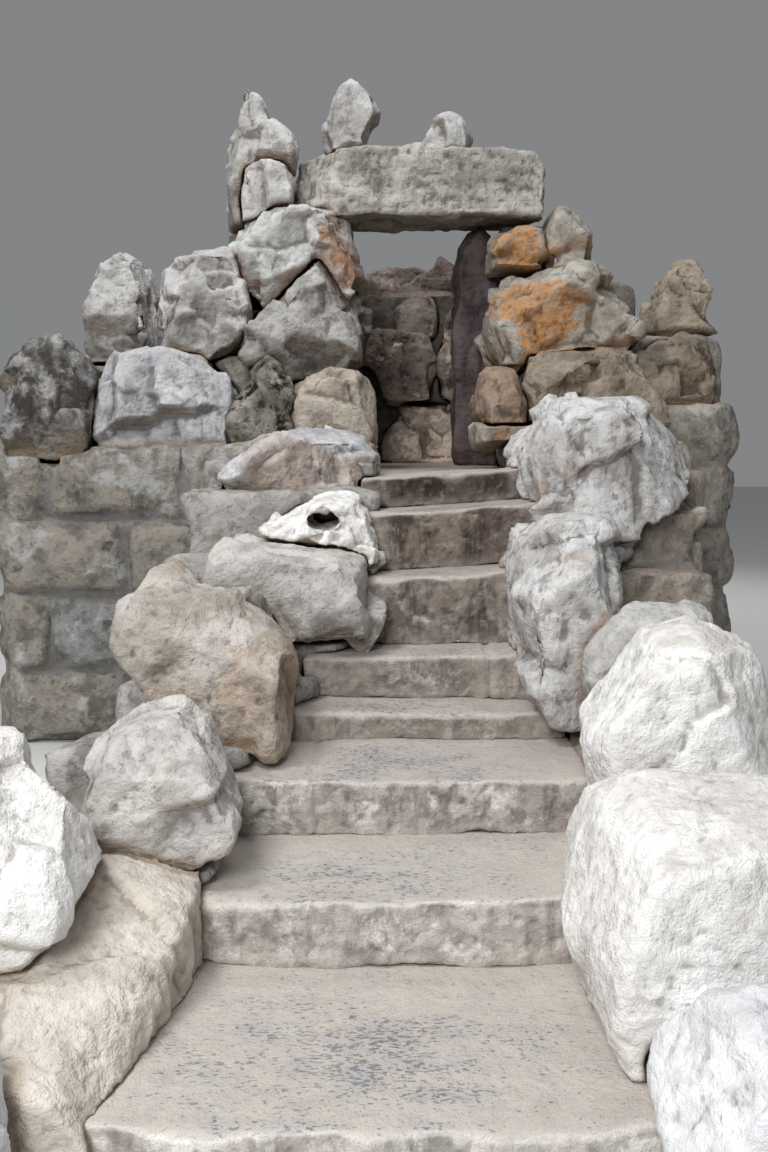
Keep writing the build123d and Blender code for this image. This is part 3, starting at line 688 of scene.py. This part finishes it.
def worn_tread(name, dusty, blue, front, stain, bloom, arris_highlight=0.3, spalls=0.8, streaks=0.65):
    """Step stone: a dusty top with a blue-grey pitted middle, and a stained and spalled front, with painted
    shade in the front's hollows and a painted highlight along the worn arris.
    """
    n = Nodes(name)
    where = n.add("ShaderNodeTexCoord", "Object")
    shape = n.add("ShaderNodeNewGeometry", "Normal")
    rise = n.add("ShaderNodeSeparateXYZ", 2, {"Vector": shape})
    up = n.ramp(rise, 0.45, 0.85)
    arris = n.math("MULTIPLY", n.ramp(rise, 0.25, 0.5), n.ramp(rise, 0.97, 0.8))
    bent = n.bent(where, 6.0, 0.05)
    broad = n.noise(where, 2.1, 4.0, 0.6, 0.5)
    mid = n.noise(bent, 9.0, 6.0, 0.70)
    small = n.noise(where, 40.0, 4.0, 0.68)
    grit = n.noise(where, 170.0, 1.0, 0.6)
    flake, flake_tone = n.cleavage(bent, 22.0)
    flat = n.stretch(where, (0.5, 1.0, 1.0))
    dent = n.noise(flat, 105.0, 3.0, 0.6, 0.15)
    ragged = n.ramp(n.noise(flat, 9.0, 7.0, 0.72, 0.2), 0.3, 0.7, -0.5, 0.5)
    ragged = n.math("ADD", n.layer("worn"), ragged)
    crowd = n.ramp(ragged, -0.1, 1.3)
    film = n.math("MULTIPLY", crowd, n.ramp(n.noise(flat, 16.0, 7.0, 0.75, 0.2), 0.36, 0.64))
    pitted = n.ramp(n.math("ADD", dent, n.math("MULTIPLY", crowd, 0.14)), 0.645, 0.74)
    pitted = n.math("MULTIPLY", pitted, up)
    top = n.mix(n.ramp(mid, 0.42, 0.64, 0.0, 0.45), dusty, scaled(dusty, 0.74))
    top = n.mix(n.ramp(n.noise(flat, 24.0, 6.0, 0.7, 0.2), 0.48, 0.66, 0.0, 0.35), top, blue)
    top = n.mix(n.math("MULTIPLY", film, 0.75), top, blue)
    top = n.mix(n.math("MULTIPLY", pitted, n.ramp(mid, 0.35, 0.6, 0.45, 0.85)), top, scaled(blue, 0.45))
    face = n.mix(n.ramp(broad, 0.4, 0.6), front, blended(front, 0.5, stain, 0.5))
    face = n.mix(n.ramp(mid, 0.47, 0.60, 0.0, 0.8), face, stain)
    upright = n.stretch(where, (8.0, 8.0, 1.2))
    run = n.ramp(n.noise(upright, 1.5, 6.0, 0.66), 0.5, 0.64)
    face = n.mix(n.math("MULTIPLY", run, streaks), face, scaled(stain, 0.55))
    face = n.mix(n.ramp(flake_tone, 0.55, 1.0, 0.0, 0.4), face, scaled(stain, 0.6))
    spall = n.ramp(n.noise(bent, 5.5, 8.0, 0.72, 0.3), 0.52, 0.60)
    spall = n.math("MULTIPLY", spall, n.ramp(small, 0.38, 0.56, 0.3, 1.0))
    face = n.mix(n.math("MULTIPLY", spall, spalls), face, bloom)
    hollow = n.layer("hollow")
    # Painted shade: the front darker in its hollows.
    face = n.mix(n.ramp(hollow, 0.1, 0.9, 0.0, 0.55), face, scaled(stain, 0.45))
    face = n.mix(n.ramp(hollow, -0.2, -0.9, 0.0, 0.2), face, bloom)
    colour = n.mix(up, face, top)
    # Painted highlight and wear: the arris paler, where the nosing catches the light.
    colour = n.mix(n.math("MULTIPLY", arris, n.ramp(mid, 0.35, 0.6, 0.4 * arris_highlight, arris_highlight)), colour, bloom)
    settled = n.math("MULTIPLY", n.ramp(n.layer("joint"), 0.12, 0.75), n.ramp(mid, 0.35, 0.6, 0.35, 1.0))
    colour = n.mix(n.math("MULTIPLY", settled, n.ramp(up, 0.0, 1.0, 0.5, 0.8)), colour, dusty)
    colour = n.mix(n.ramp(grit, 0.5, 0.7, 0.0, 0.3), colour, scaled(front, 0.5))
    height = n.summed([(flake, n.ramp(up, 0.0, 1.0, 0.36, 0.04)), (mid, 0.012),
                       (small, 0.008), (grit, 0.003), (pitted, -0.004)])
    return n.finish(colour, height, 0.85, n.ramp(mid, 0.2, 0.8, 0.80, 0.95))


def rubble(name, stones, mortar_colour, dark):
    """Rubble in mortar: each stone has its own tone between the given colours, with painted shade in its
    hollows.
    """
    n = Nodes(name)
    where = n.add("ShaderNodeTexCoord", "Object")
    tone = n.layer("tone")
    bent = n.bent(where, 7.0, 0.05)
    mid = n.noise(bent, 7.0, 5.0, 0.68)
    small = n.noise(where, 30.0, 3.0, 0.68)
    grit = n.noise(where, 140.0, 1.0, 0.6)
    flake, flake_tone = n.cleavage(bent, 18.0)
    colour = n.mix(n.ramp(tone, 0.0, 0.5), stones[0], stones[1])
    colour = n.mix(n.ramp(tone, 0.6, 0.95), colour, stones[2])
    colour = n.mix(n.ramp(flake_tone, 0.5, 1.0, 0.0, 0.35), colour, dark)
    colour = n.mix(n.ramp(mid, 0.47, 0.62, 0.0, 0.65), colour, dark)
    colour = n.mix(n.ramp(small, 0.55, 0.70, 0.0, 0.5), colour, scaled(dark, 0.6))
    bloom = n.ramp(n.noise(bent, 4.5, 6.0, 0.7), 0.54, 0.66, 0.0, 0.6)
    colour = n.mix(bloom, colour, [min(1.0, 1.35 * c) for c in stones[0]])
    # Painted shade: darker in the hollows.
    colour = n.mix(n.ramp(n.layer("hollow"), 0.1, 0.8, 0.0, 0.6), colour, scaled(dark, 0.5))
    fill = n.math("MULTIPLY", n.layer("mortar"), n.ramp(mid, 0.3, 0.6, 0.95, 0.6))
    colour = n.mix(fill, colour, mortar_colour)
    colour = n.mix(n.math("MULTIPLY", n.layer("shade"), 0.8), colour, dark)
    height = n.summed([(flake, 0.32), (mid, 0.02), (small, 0.011), (grit, 0.0035)])
    return n.finish(colour, height, 0.9, n.ramp(mid, 0.2, 0.8, 0.85, 0.97))


# Materials of the boulders: base, pale, dark and warm colour.
WHITE = limestone("white_limestone", (0.70, 0.69, 0.67), (0.86, 0.86, 0.85), (0.46, 0.43, 0.40),
                  (0.60, 0.52, 0.42), stain=0.35, streak=0.10, warmth=0.25, fleck=0.45,
                  rugged=0.7, grime=0.5)
COOL_WHITE = limestone("cool_white_limestone", (0.58, 0.58, 0.59), (0.74, 0.745, 0.76), (0.38, 0.38, 0.39),
                       (0.56, 0.50, 0.42), stain=0.35, streak=0.15, warmth=0.15, fleck=0.35, rugged=0.7)
MOTTLED = limestone("mottled_limestone", (0.44, 0.43, 0.41), (0.62, 0.60, 0.57), (0.22, 0.20, 0.185),
                    (0.46, 0.37, 0.27), stain=0.6, streak=0.15, warmth=0.4, fleck=0.7, top_light_underside_shade=0.15)
SADDLE = limestone("tan_mottled_limestone", (0.34, 0.305, 0.26), (0.52, 0.49, 0.45), (0.18, 0.15, 0.125),
                   (0.40, 0.28, 0.18), stain=0.5, streak=0.25, warmth=0.6, fleck=0.5)
CREAM = limestone("cream_limestone", (0.53, 0.48, 0.415), (0.69, 0.645, 0.585), (0.36, 0.32, 0.28),
                  (0.50, 0.40, 0.29), stain=0.35, streak=0.45, warmth=0.45, fleck=0.3, rugged=0.9)
GREY = limestone("grey_limestone", (0.33, 0.32, 0.305), (0.56, 0.55, 0.54), (0.12, 0.11, 0.10),
                 (0.36, 0.25, 0.15), stain=0.6, streak=0.4, warmth=0.45, fleck=0.5, rugged=1.3,
                 grime=0.0, top_light_underside_shade=0.45)
# Grey limestone painted darker, as painted shade on the tilted jamb boulder.
SHADED_GREY = limestone("shaded_grey_limestone", (0.21, 0.20, 0.185), (0.44, 0.43, 0.41), (0.06, 0.052, 0.046),
                     (0.26, 0.17, 0.10), stain=0.65, streak=0.4, warmth=0.45, fleck=0.6, rugged=1.4,
                     grime=0.0, top_light_underside_shade=0.42)
RUSTY = limestone("rusty_limestone", (0.42, 0.42, 0.41), (0.68, 0.69, 0.68), (0.13, 0.12, 0.11),
                  (0.26, 0.11, 0.035), stain=0.5, streak=0.4, warmth=0.97, fleck=0.5, rugged=1.3,
                  grime=0.0, top_light_underside_shade=0.4)
LINTEL = limestone("bedded_limestone", (0.31, 0.295, 0.265), (0.52, 0.50, 0.46), (0.11, 0.10, 0.085),
                   (0.30, 0.21, 0.14), stain=0.75, streak=0.25, warmth=0.4, fleck=0.7, rugged=1.5)
COOL_GREY = limestone("cool_grey_limestone", (0.35, 0.355, 0.365), (0.58, 0.585, 0.595),
                      (0.12, 0.12, 0.125), (0.34, 0.25, 0.17), stain=0.6, streak=0.7, warmth=0.25,
                      fleck=0.5, rugged=1.3, grime=0.0, top_light_underside_shade=0.45)
BLUFF = limestone("pale_grey_limestone", (0.44, 0.435, 0.425), (0.62, 0.615, 0.61), (0.17, 0.15, 0.14),
                  (0.40, 0.30, 0.23), stain=0.5, streak=0.35, warmth=0.8, fleck=0.7)
TAN = limestone("tan_limestone", (0.39, 0.34, 0.28), (0.54, 0.49, 0.43), (0.15, 0.12, 0.095),
                (0.30, 0.19, 0.11), stain=0.5, streak=0.3, warmth=0.5, fleck=0.5, rugged=1.3)
# Tan limestone painted darker, as painted shade on the rocks at the back.
SHADED_TAN = limestone("shaded_tan_limestone", (0.23, 0.19, 0.145), (0.39, 0.33, 0.26), (0.07, 0.054, 0.04),
                    (0.20, 0.12, 0.065), stain=0.6, streak=0.3, warmth=0.5, fleck=0.5, rugged=1.4)
BROWN = limestone("brown_limestone", (0.30, 0.22, 0.165), (0.42, 0.32, 0.25), (0.11, 0.08, 0.06),
                  (0.25, 0.15, 0.08), stain=0.5, streak=0.3, warmth=0.5, fleck=0.5, rugged=1.3)
OCHRE = limestone("ochre_limestone", (0.28, 0.25, 0.205), (0.44, 0.42, 0.37), (0.09, 0.07, 0.055),
                  (0.46, 0.205, 0.055), stain=0.45, streak=0.3, warmth=0.95, fleck=0.5, rugged=1.3)
MAUVE = limestone("mauve_limestone", (0.070, 0.048, 0.052), (0.125, 0.095, 0.097), (0.024, 0.017, 0.018),
                  (0.12, 0.075, 0.05), stain=0.6, streak=0.5, warmth=0.4, fleck=0.4, rugged=1.2)
# Painted shade: drawn dark for the rocks inside the recess; its pale warm colour is partly the tan stone
# and partly painted light.
RECESS_SHADED = limestone("recess_shaded_limestone", (0.13, 0.095, 0.08), (0.33, 0.27, 0.235), (0.022, 0.015, 0.012),
                  (0.95, 0.78, 0.65), stain=0.7, streak=0.5, warmth=0.95, fleck=0.5, rugged=1.5)
MOSSY = limestone("mossy_limestone", (0.085, 0.072, 0.055), (0.30, 0.28, 0.24), (0.006, 0.005, 0.004),
                  (0.17, 0.11, 0.035), stain=1.0, streak=0.5, warmth=0.6, fleck=1.0, rugged=1.5,
                  grime=0.0, cover=0.43)
STAINED = limestone("stained_limestone", (0.41, 0.415, 0.425), (0.64, 0.65, 0.67), (0.15, 0.135, 0.125),
                    (0.33, 0.20, 0.11), stain=0.5, streak=0.3, warmth=0.7, fleck=0.5, top_light_underside_shade=0.2)

# Materials of the steps: dust, blue-grey film, front, stain and bloom. They are one stone painted lighter
# for the low steps and darker for the upper ones, as painted light and shade.
LIT_LOW_TREAD = worn_tread("lit_low_tread_stone", (0.48, 0.435, 0.39), (0.33, 0.34, 0.365), (0.60, 0.56, 0.52),
                       (0.33, 0.30, 0.27), (0.78, 0.755, 0.72))
TREAD = worn_tread("half_lit_tread_stone", (0.46, 0.415, 0.375), (0.32, 0.325, 0.35), (0.47, 0.43, 0.395),
                   (0.21, 0.185, 0.16), (0.66, 0.635, 0.605))
HALF_SHADED_TREAD = worn_tread("half_shaded_tread_stone", (0.45, 0.405, 0.365), (0.31, 0.31, 0.325),
                       (0.38, 0.335, 0.295), (0.165, 0.14, 0.12), (0.50, 0.47, 0.44), arris_highlight=0.6, spalls=0.6)
SHADED_TREAD = worn_tread("shaded_tread_stone", (0.40, 0.36, 0.32), (0.28, 0.285, 0.29),
                          (0.31, 0.265, 0.23), (0.10, 0.08, 0.066), (0.50, 0.47, 0.43),
                          arris_highlight=0.8, spalls=0.4, streaks=0.85)
DEEP_SHADED_TREAD = worn_tread("deep_shaded_tread_stone", (0.38, 0.34, 0.305), (0.28, 0.285, 0.29),
                         (0.22, 0.175, 0.145), (0.070, 0.050, 0.040), (0.44, 0.41, 0.37),
                         arris_highlight=0.8, spalls=0.35, streaks=0.9)
DARKEST_SHADED_TREAD = worn_tread("darkest_shaded_tread_stone", (0.44, 0.39, 0.355), (0.25, 0.25, 0.25), (0.095, 0.07, 0.058),
                        (0.032, 0.022, 0.018), (0.34, 0.30, 0.27), arris_highlight=0.7, spalls=0.15, streaks=0.9)

# Materials of the masonry: three stones, mortar and dark.
RUBBLE = rubble("rubble_masonry", [(0.35, 0.34, 0.32), (0.26, 0.25, 0.225), (0.29, 0.25, 0.205)],
                (0.27, 0.245, 0.21), (0.11, 0.10, 0.09))
PALE_RUBBLE = rubble("pale_rubble_masonry",
                     [(0.34, 0.345, 0.345), (0.25, 0.25, 0.245), (0.27, 0.245, 0.21)],
                     (0.20, 0.19, 0.175), (0.08, 0.075, 0.07))
# Masonry painted dark, as painted shade inside the recess.
RECESS_SHADED_RUBBLE = rubble("recess_shaded_masonry", [(0.13, 0.115, 0.10), (0.085, 0.07, 0.06), (0.12, 0.09, 0.065)],
                     (0.085, 0.07, 0.06), (0.03, 0.025, 0.021))

# Looks: depths and sizes of the relief in metres, and rounds of smoothing.
ROCK = {"kind": "rock"}
STEP = {"kind": "tread", "voxel": NEAR, "wear": 2, "groove": 0.003, "jointed": True}
WALL = {"kind": "rubble", "voxel": WALLS, "wear": 1, "groove": 0.015, "lump": 0.016}
BLUNT = {**ROCK, "voxel": NEAR, "wear": 24, "lump": 0.018, "break": 0.012, "chip": 0.006}
CRAG = {**ROCK, "voxel": FAR, "wear": 1, "lump": 0.008, "lump_size": 0.45, "facet": 0.40, "break": 0.080,
        "small": 0.36, "crisp": 24, "chip": 0.005}
BROKEN = {**ROCK, "voxel": NEAR, "wear": 2, "lump": 0.008, "lump_size": 0.45, "facet": 0.38, "break": 0.058,
          "crisp": 30, "chip": 0.004}
PITTED = {**BROKEN, "voxel": MIDDLE, "facet": 0.30, "break": 0.045, "flute": 0.016}
CRACKED_WITH_GAP_SHADOW = {**BLUNT, "groove": 0.026, "gap_shadow": 1.0}

# Each node: its look, material and slot.
STONES = {
    "step_1": (STEP, LIT_LOW_TREAD, "tread_stone"),
    "step_2": (STEP, LIT_LOW_TREAD, "tread_stone"),
    "step_3": (STEP, TREAD, "tread_stone"),
    "step_4": (STEP, HALF_SHADED_TREAD, "tread_stone"),
    "step_5": (STEP, HALF_SHADED_TREAD, "tread_stone"),
    "step_6": (STEP, SHADED_TREAD, "tread_stone"),
    "step_7": (STEP, DEEP_SHADED_TREAD, "tread_stone"),
    "step_8": (STEP, DARKEST_SHADED_TREAD, "tread_stone"),
    "floor_flags": ({**STEP, "voxel": WALLS, "jointed": False}, DEEP_SHADED_TREAD, "tread_stone"),
    "foot_boulders": (CRACKED_WITH_GAP_SHADOW, COOL_WHITE, "white_limestone"),
    "left_white_boulder": ({**BROKEN, "facet": 0.52, "break": 0.06}, WHITE, "white_limestone"),
    "right_great_boulder": (CRACKED_WITH_GAP_SHADOW, WHITE, "white_limestone"),
    "right_white_boulder": (CRACKED_WITH_GAP_SHADOW, WHITE, "white_limestone"),
    "left_wedge_boulder": ({**BROKEN, "pit": 0.006, "pit_size": 0.05,
                            "shade": [(0.12, 0.1, 0.56, 0.09)]},
                           MOTTLED, "grey_limestone"),
    "left_ledge_rock": ({**BROKEN, "lump": 0.010, "break": 0.03, "flute": 0.014}, CREAM, "tan_limestone"),
    "left_saddle_boulder": ({**BROKEN, "voxel": MIDDLE, "break": 0.045, "pit": 0.010, "pit_size": 0.06,
                             "warm": [(0.75, 0.2, 0.15, 0.30), (0.9, 0.3, 0.35, 0.20),
                                      (0.4, 0.1, 0.2, 0.2)]},
                            SADDLE, "grey_limestone"),
    "left_shelf_rock": ({**BROKEN, "voxel": MIDDLE, "shade": [(0.75, 0.0, 0.05, 0.12)]},
                        MOTTLED, "grey_limestone"),
    "left_pierced_rock": ({**ROCK, "voxel": 0.010, "wear": 2, "lump": 0.012, "facet": 0.2, "break": 0.03,
                           "chip": 0.006, "pit": 0.035, "pit_size": 0.10, "pit_share": 0.45},
                          WHITE, "white_limestone"),
    "left_shoulder_boulder": ({**BROKEN, "voxel": MIDDLE,
                               "warm": [(0.4, 0.05, 0.5, 0.22), (0.6, 0.05, 0.25, 0.22)]},
                              STAINED, "grey_limestone"),
    "right_rib_rock": ({**PITTED, "pit": 0.022, "pit_size": 0.12}, BLUFF, "grey_limestone"),
    "right_crest_rock": ({**PITTED, "pit": 0.024, "pit_size": 0.13}, BLUFF, "grey_limestone"),
    "right_bed_slab": ({**BLUNT, "voxel": MIDDLE, "chip": 0.004}, GREY, "grey_limestone"),
    "jamb_base_block": ({**CRAG, "break": 0.05}, TAN, "tan_limestone"),
    "moss_rock": ({**CRAG, "break": 0.05, "pit": 0.02, "pit_size": 0.09}, MOSSY, "grey_limestone"),
    "right_stack_rock": ({**CRAG, "break": 0.035}, BROWN, "tan_limestone"),
    "right_tilted_slab": (CRAG, SHADED_TAN, "tan_limestone"),
    "jamb_tilted_boulder": ({**CRAG, "shade": [(0.6, 0.2, 0.05, 0.25)]}, SHADED_GREY, "grey_limestone"),
    "jamb_head_boulder": ({**CRAG, "warm": [(0.92, 0.1, 0.45, 0.26), (0.85, 0.1, 0.75, 0.2)]},
                          RUSTY, "grey_limestone"),
    "right_jamb_boulder": ({**CRAG, "warm": [(0.2, 0.05, 0.68, 0.24), (0.34, 0.0, 0.5, 0.24),
                                             (0.3, 0.0, 0.3, 0.14)]},
                           OCHRE, "ochre_limestone"),
    "right_jamb_pier": ({**CRAG, "lump": 0.014, "break": 0.03, "flute": 0.01}, MAUVE, "dark_limestone"),
    "right_jamb_stones": ({**CRAG, "break": 0.05, "warm": [(0.38, 0.50, 0.80, 0.22)]},
                          OCHRE, "ochre_limestone"),
    "lintel": ({**CRAG, "lump": 0.014, "break": 0.02, "bed": 0.010, "pit": 0.015, "pit_size": 0.07},
               LINTEL, "grey_limestone"),
    "lintel_end_block": ({**CRAG, "break": 0.05}, BLUFF, "white_limestone"),
    "crest_stones": ({**CRAG, "break": 0.04}, GREY, "white_limestone"),
    "rear_left_block": ({**CRAG, "break": 0.06}, COOL_GREY, "grey_limestone"),
    "rear_left_boulders": ({**CRAG, "shade": [(0.04, 0.1, 0.1, 0.90)]}, GREY, "grey_limestone"),
    "rear_right_boulders": (CRAG, SHADED_TAN, "grey_limestone"),
    # The warm spots here are partly the tan stone's colour and partly painted light on the lowest block.
    "screen_rocks": ({**CRAG, "warm": [(0.35, 0.1, 0.10, 0.34), (0.6, 0.1, 0.12, 0.34)]},
                     RECESS_SHADED, "dark_limestone"),
    "stair_bed": ({**WALL, "voxel": 0.07}, RUBBLE, "rubble_masonry"),
    "landing_bed": ({**WALL, "voxel": 0.07}, RUBBLE, "rubble_masonry"),
    "left_flank_wall": (WALL, RUBBLE, "rubble_masonry"),
    "right_flank_wall": (WALL, RUBBLE, "rubble_masonry"),
    "rear_wall_left": ({**WALL, "bed": 0.020}, PALE_RUBBLE, "rubble_masonry"),
    "rear_wall_right": (WALL, RUBBLE, "rubble_masonry"),
    "screen_wall": (WALL, RECESS_SHADED_RUBBLE, "rubble_masonry"),
}


def floor():
    """A plain pale floor that isn't part of the object."""
    mesh = bpy.data.meshes.new("studio_floor")
    r = FLOOR_REACH
    mesh.from_pydata([(-r, -r, 0), (r, -r, 0), (r, r, 0), (-r, r, 0)], [], [(0, 1, 2, 3)])
    plane = bpy.data.objects.new("studio_floor", mesh)
    bpy.context.scene.collection.objects.link(plane)
    n = Nodes("studio_floor")
    n.shader.inputs["Base Color"].default_value = (0.62, 0.62, 0.61, 1.0)
    n.shader.inputs["Roughness"].default_value = 0.9
    mesh.materials.append(n.material)


def soft_light(name, place, aim, size, power):
    """A square area light at a place, turned to the aim."""
    light = bpy.data.lights.new(name, "AREA")
    light.size = size
    light.energy = power
    lamp = bpy.data.objects.new(name, light)
    bpy.context.scene.collection.objects.link(lamp)
    lamp.location = place
    way = np.array(aim, float) - np.array(place, float)
    lamp.rotation_euler = (
        math.atan2(math.hypot(way[0], way[1]), -way[2]), 0.0, math.atan2(way[1], way[0]) - math.pi / 2)


def studio():
    """Camera, world light and lamps."""
    scene = bpy.context.scene
    camera = bpy.data.cameras.new("photo_camera")
    camera.lens = LENS
    camera.sensor_width = SENSOR
    camera.clip_end = 200
    eye = bpy.data.objects.new("photo_camera", camera)
    scene.collection.objects.link(eye)
    eye.location = CAMERA_PLACE
    eye.rotation_euler = (math.radians(90 - CAMERA_DIP), 0, 0)
    scene.camera = eye
    world = bpy.data.worlds.new("studio")
    world.use_nodes = True
    sky = world.node_tree.nodes["Background"]
    sky.inputs["Color"].default_value = (0.95, 0.97, 1.0, 1.0)
    sky.inputs["Strength"].default_value = 0.24
    scene.world = world
    soft_light("front", (-1.7, -4.6, 4.4), (0.1, 2.2, 0.8), 2.6, 380)
    soft_light("key", (-3.0, -0.6, 8.0), (0.2, 2.6, 0.8), 2.4, 375)
    soft_light("top", (0.4, 4.7, 8.5), (0.0, 4.4, 0.0), 3.5, 200)
    soft_light("back", (1.4, 11.5, 5.0), (0.0, 5.6, 1.4), 4.0, 190)
    scene.view_settings.view_transform = "Standard"


floor()
studio()
triangles = {}
for serial, (node_name, (look, material, slot)) in enumerate(STONES.items()):
    triangles[node_name] = dressed(node_name, look, material, 100 * serial + 17)
print("triangles", sum(triangles.values()), max(triangles.values()), triangles)
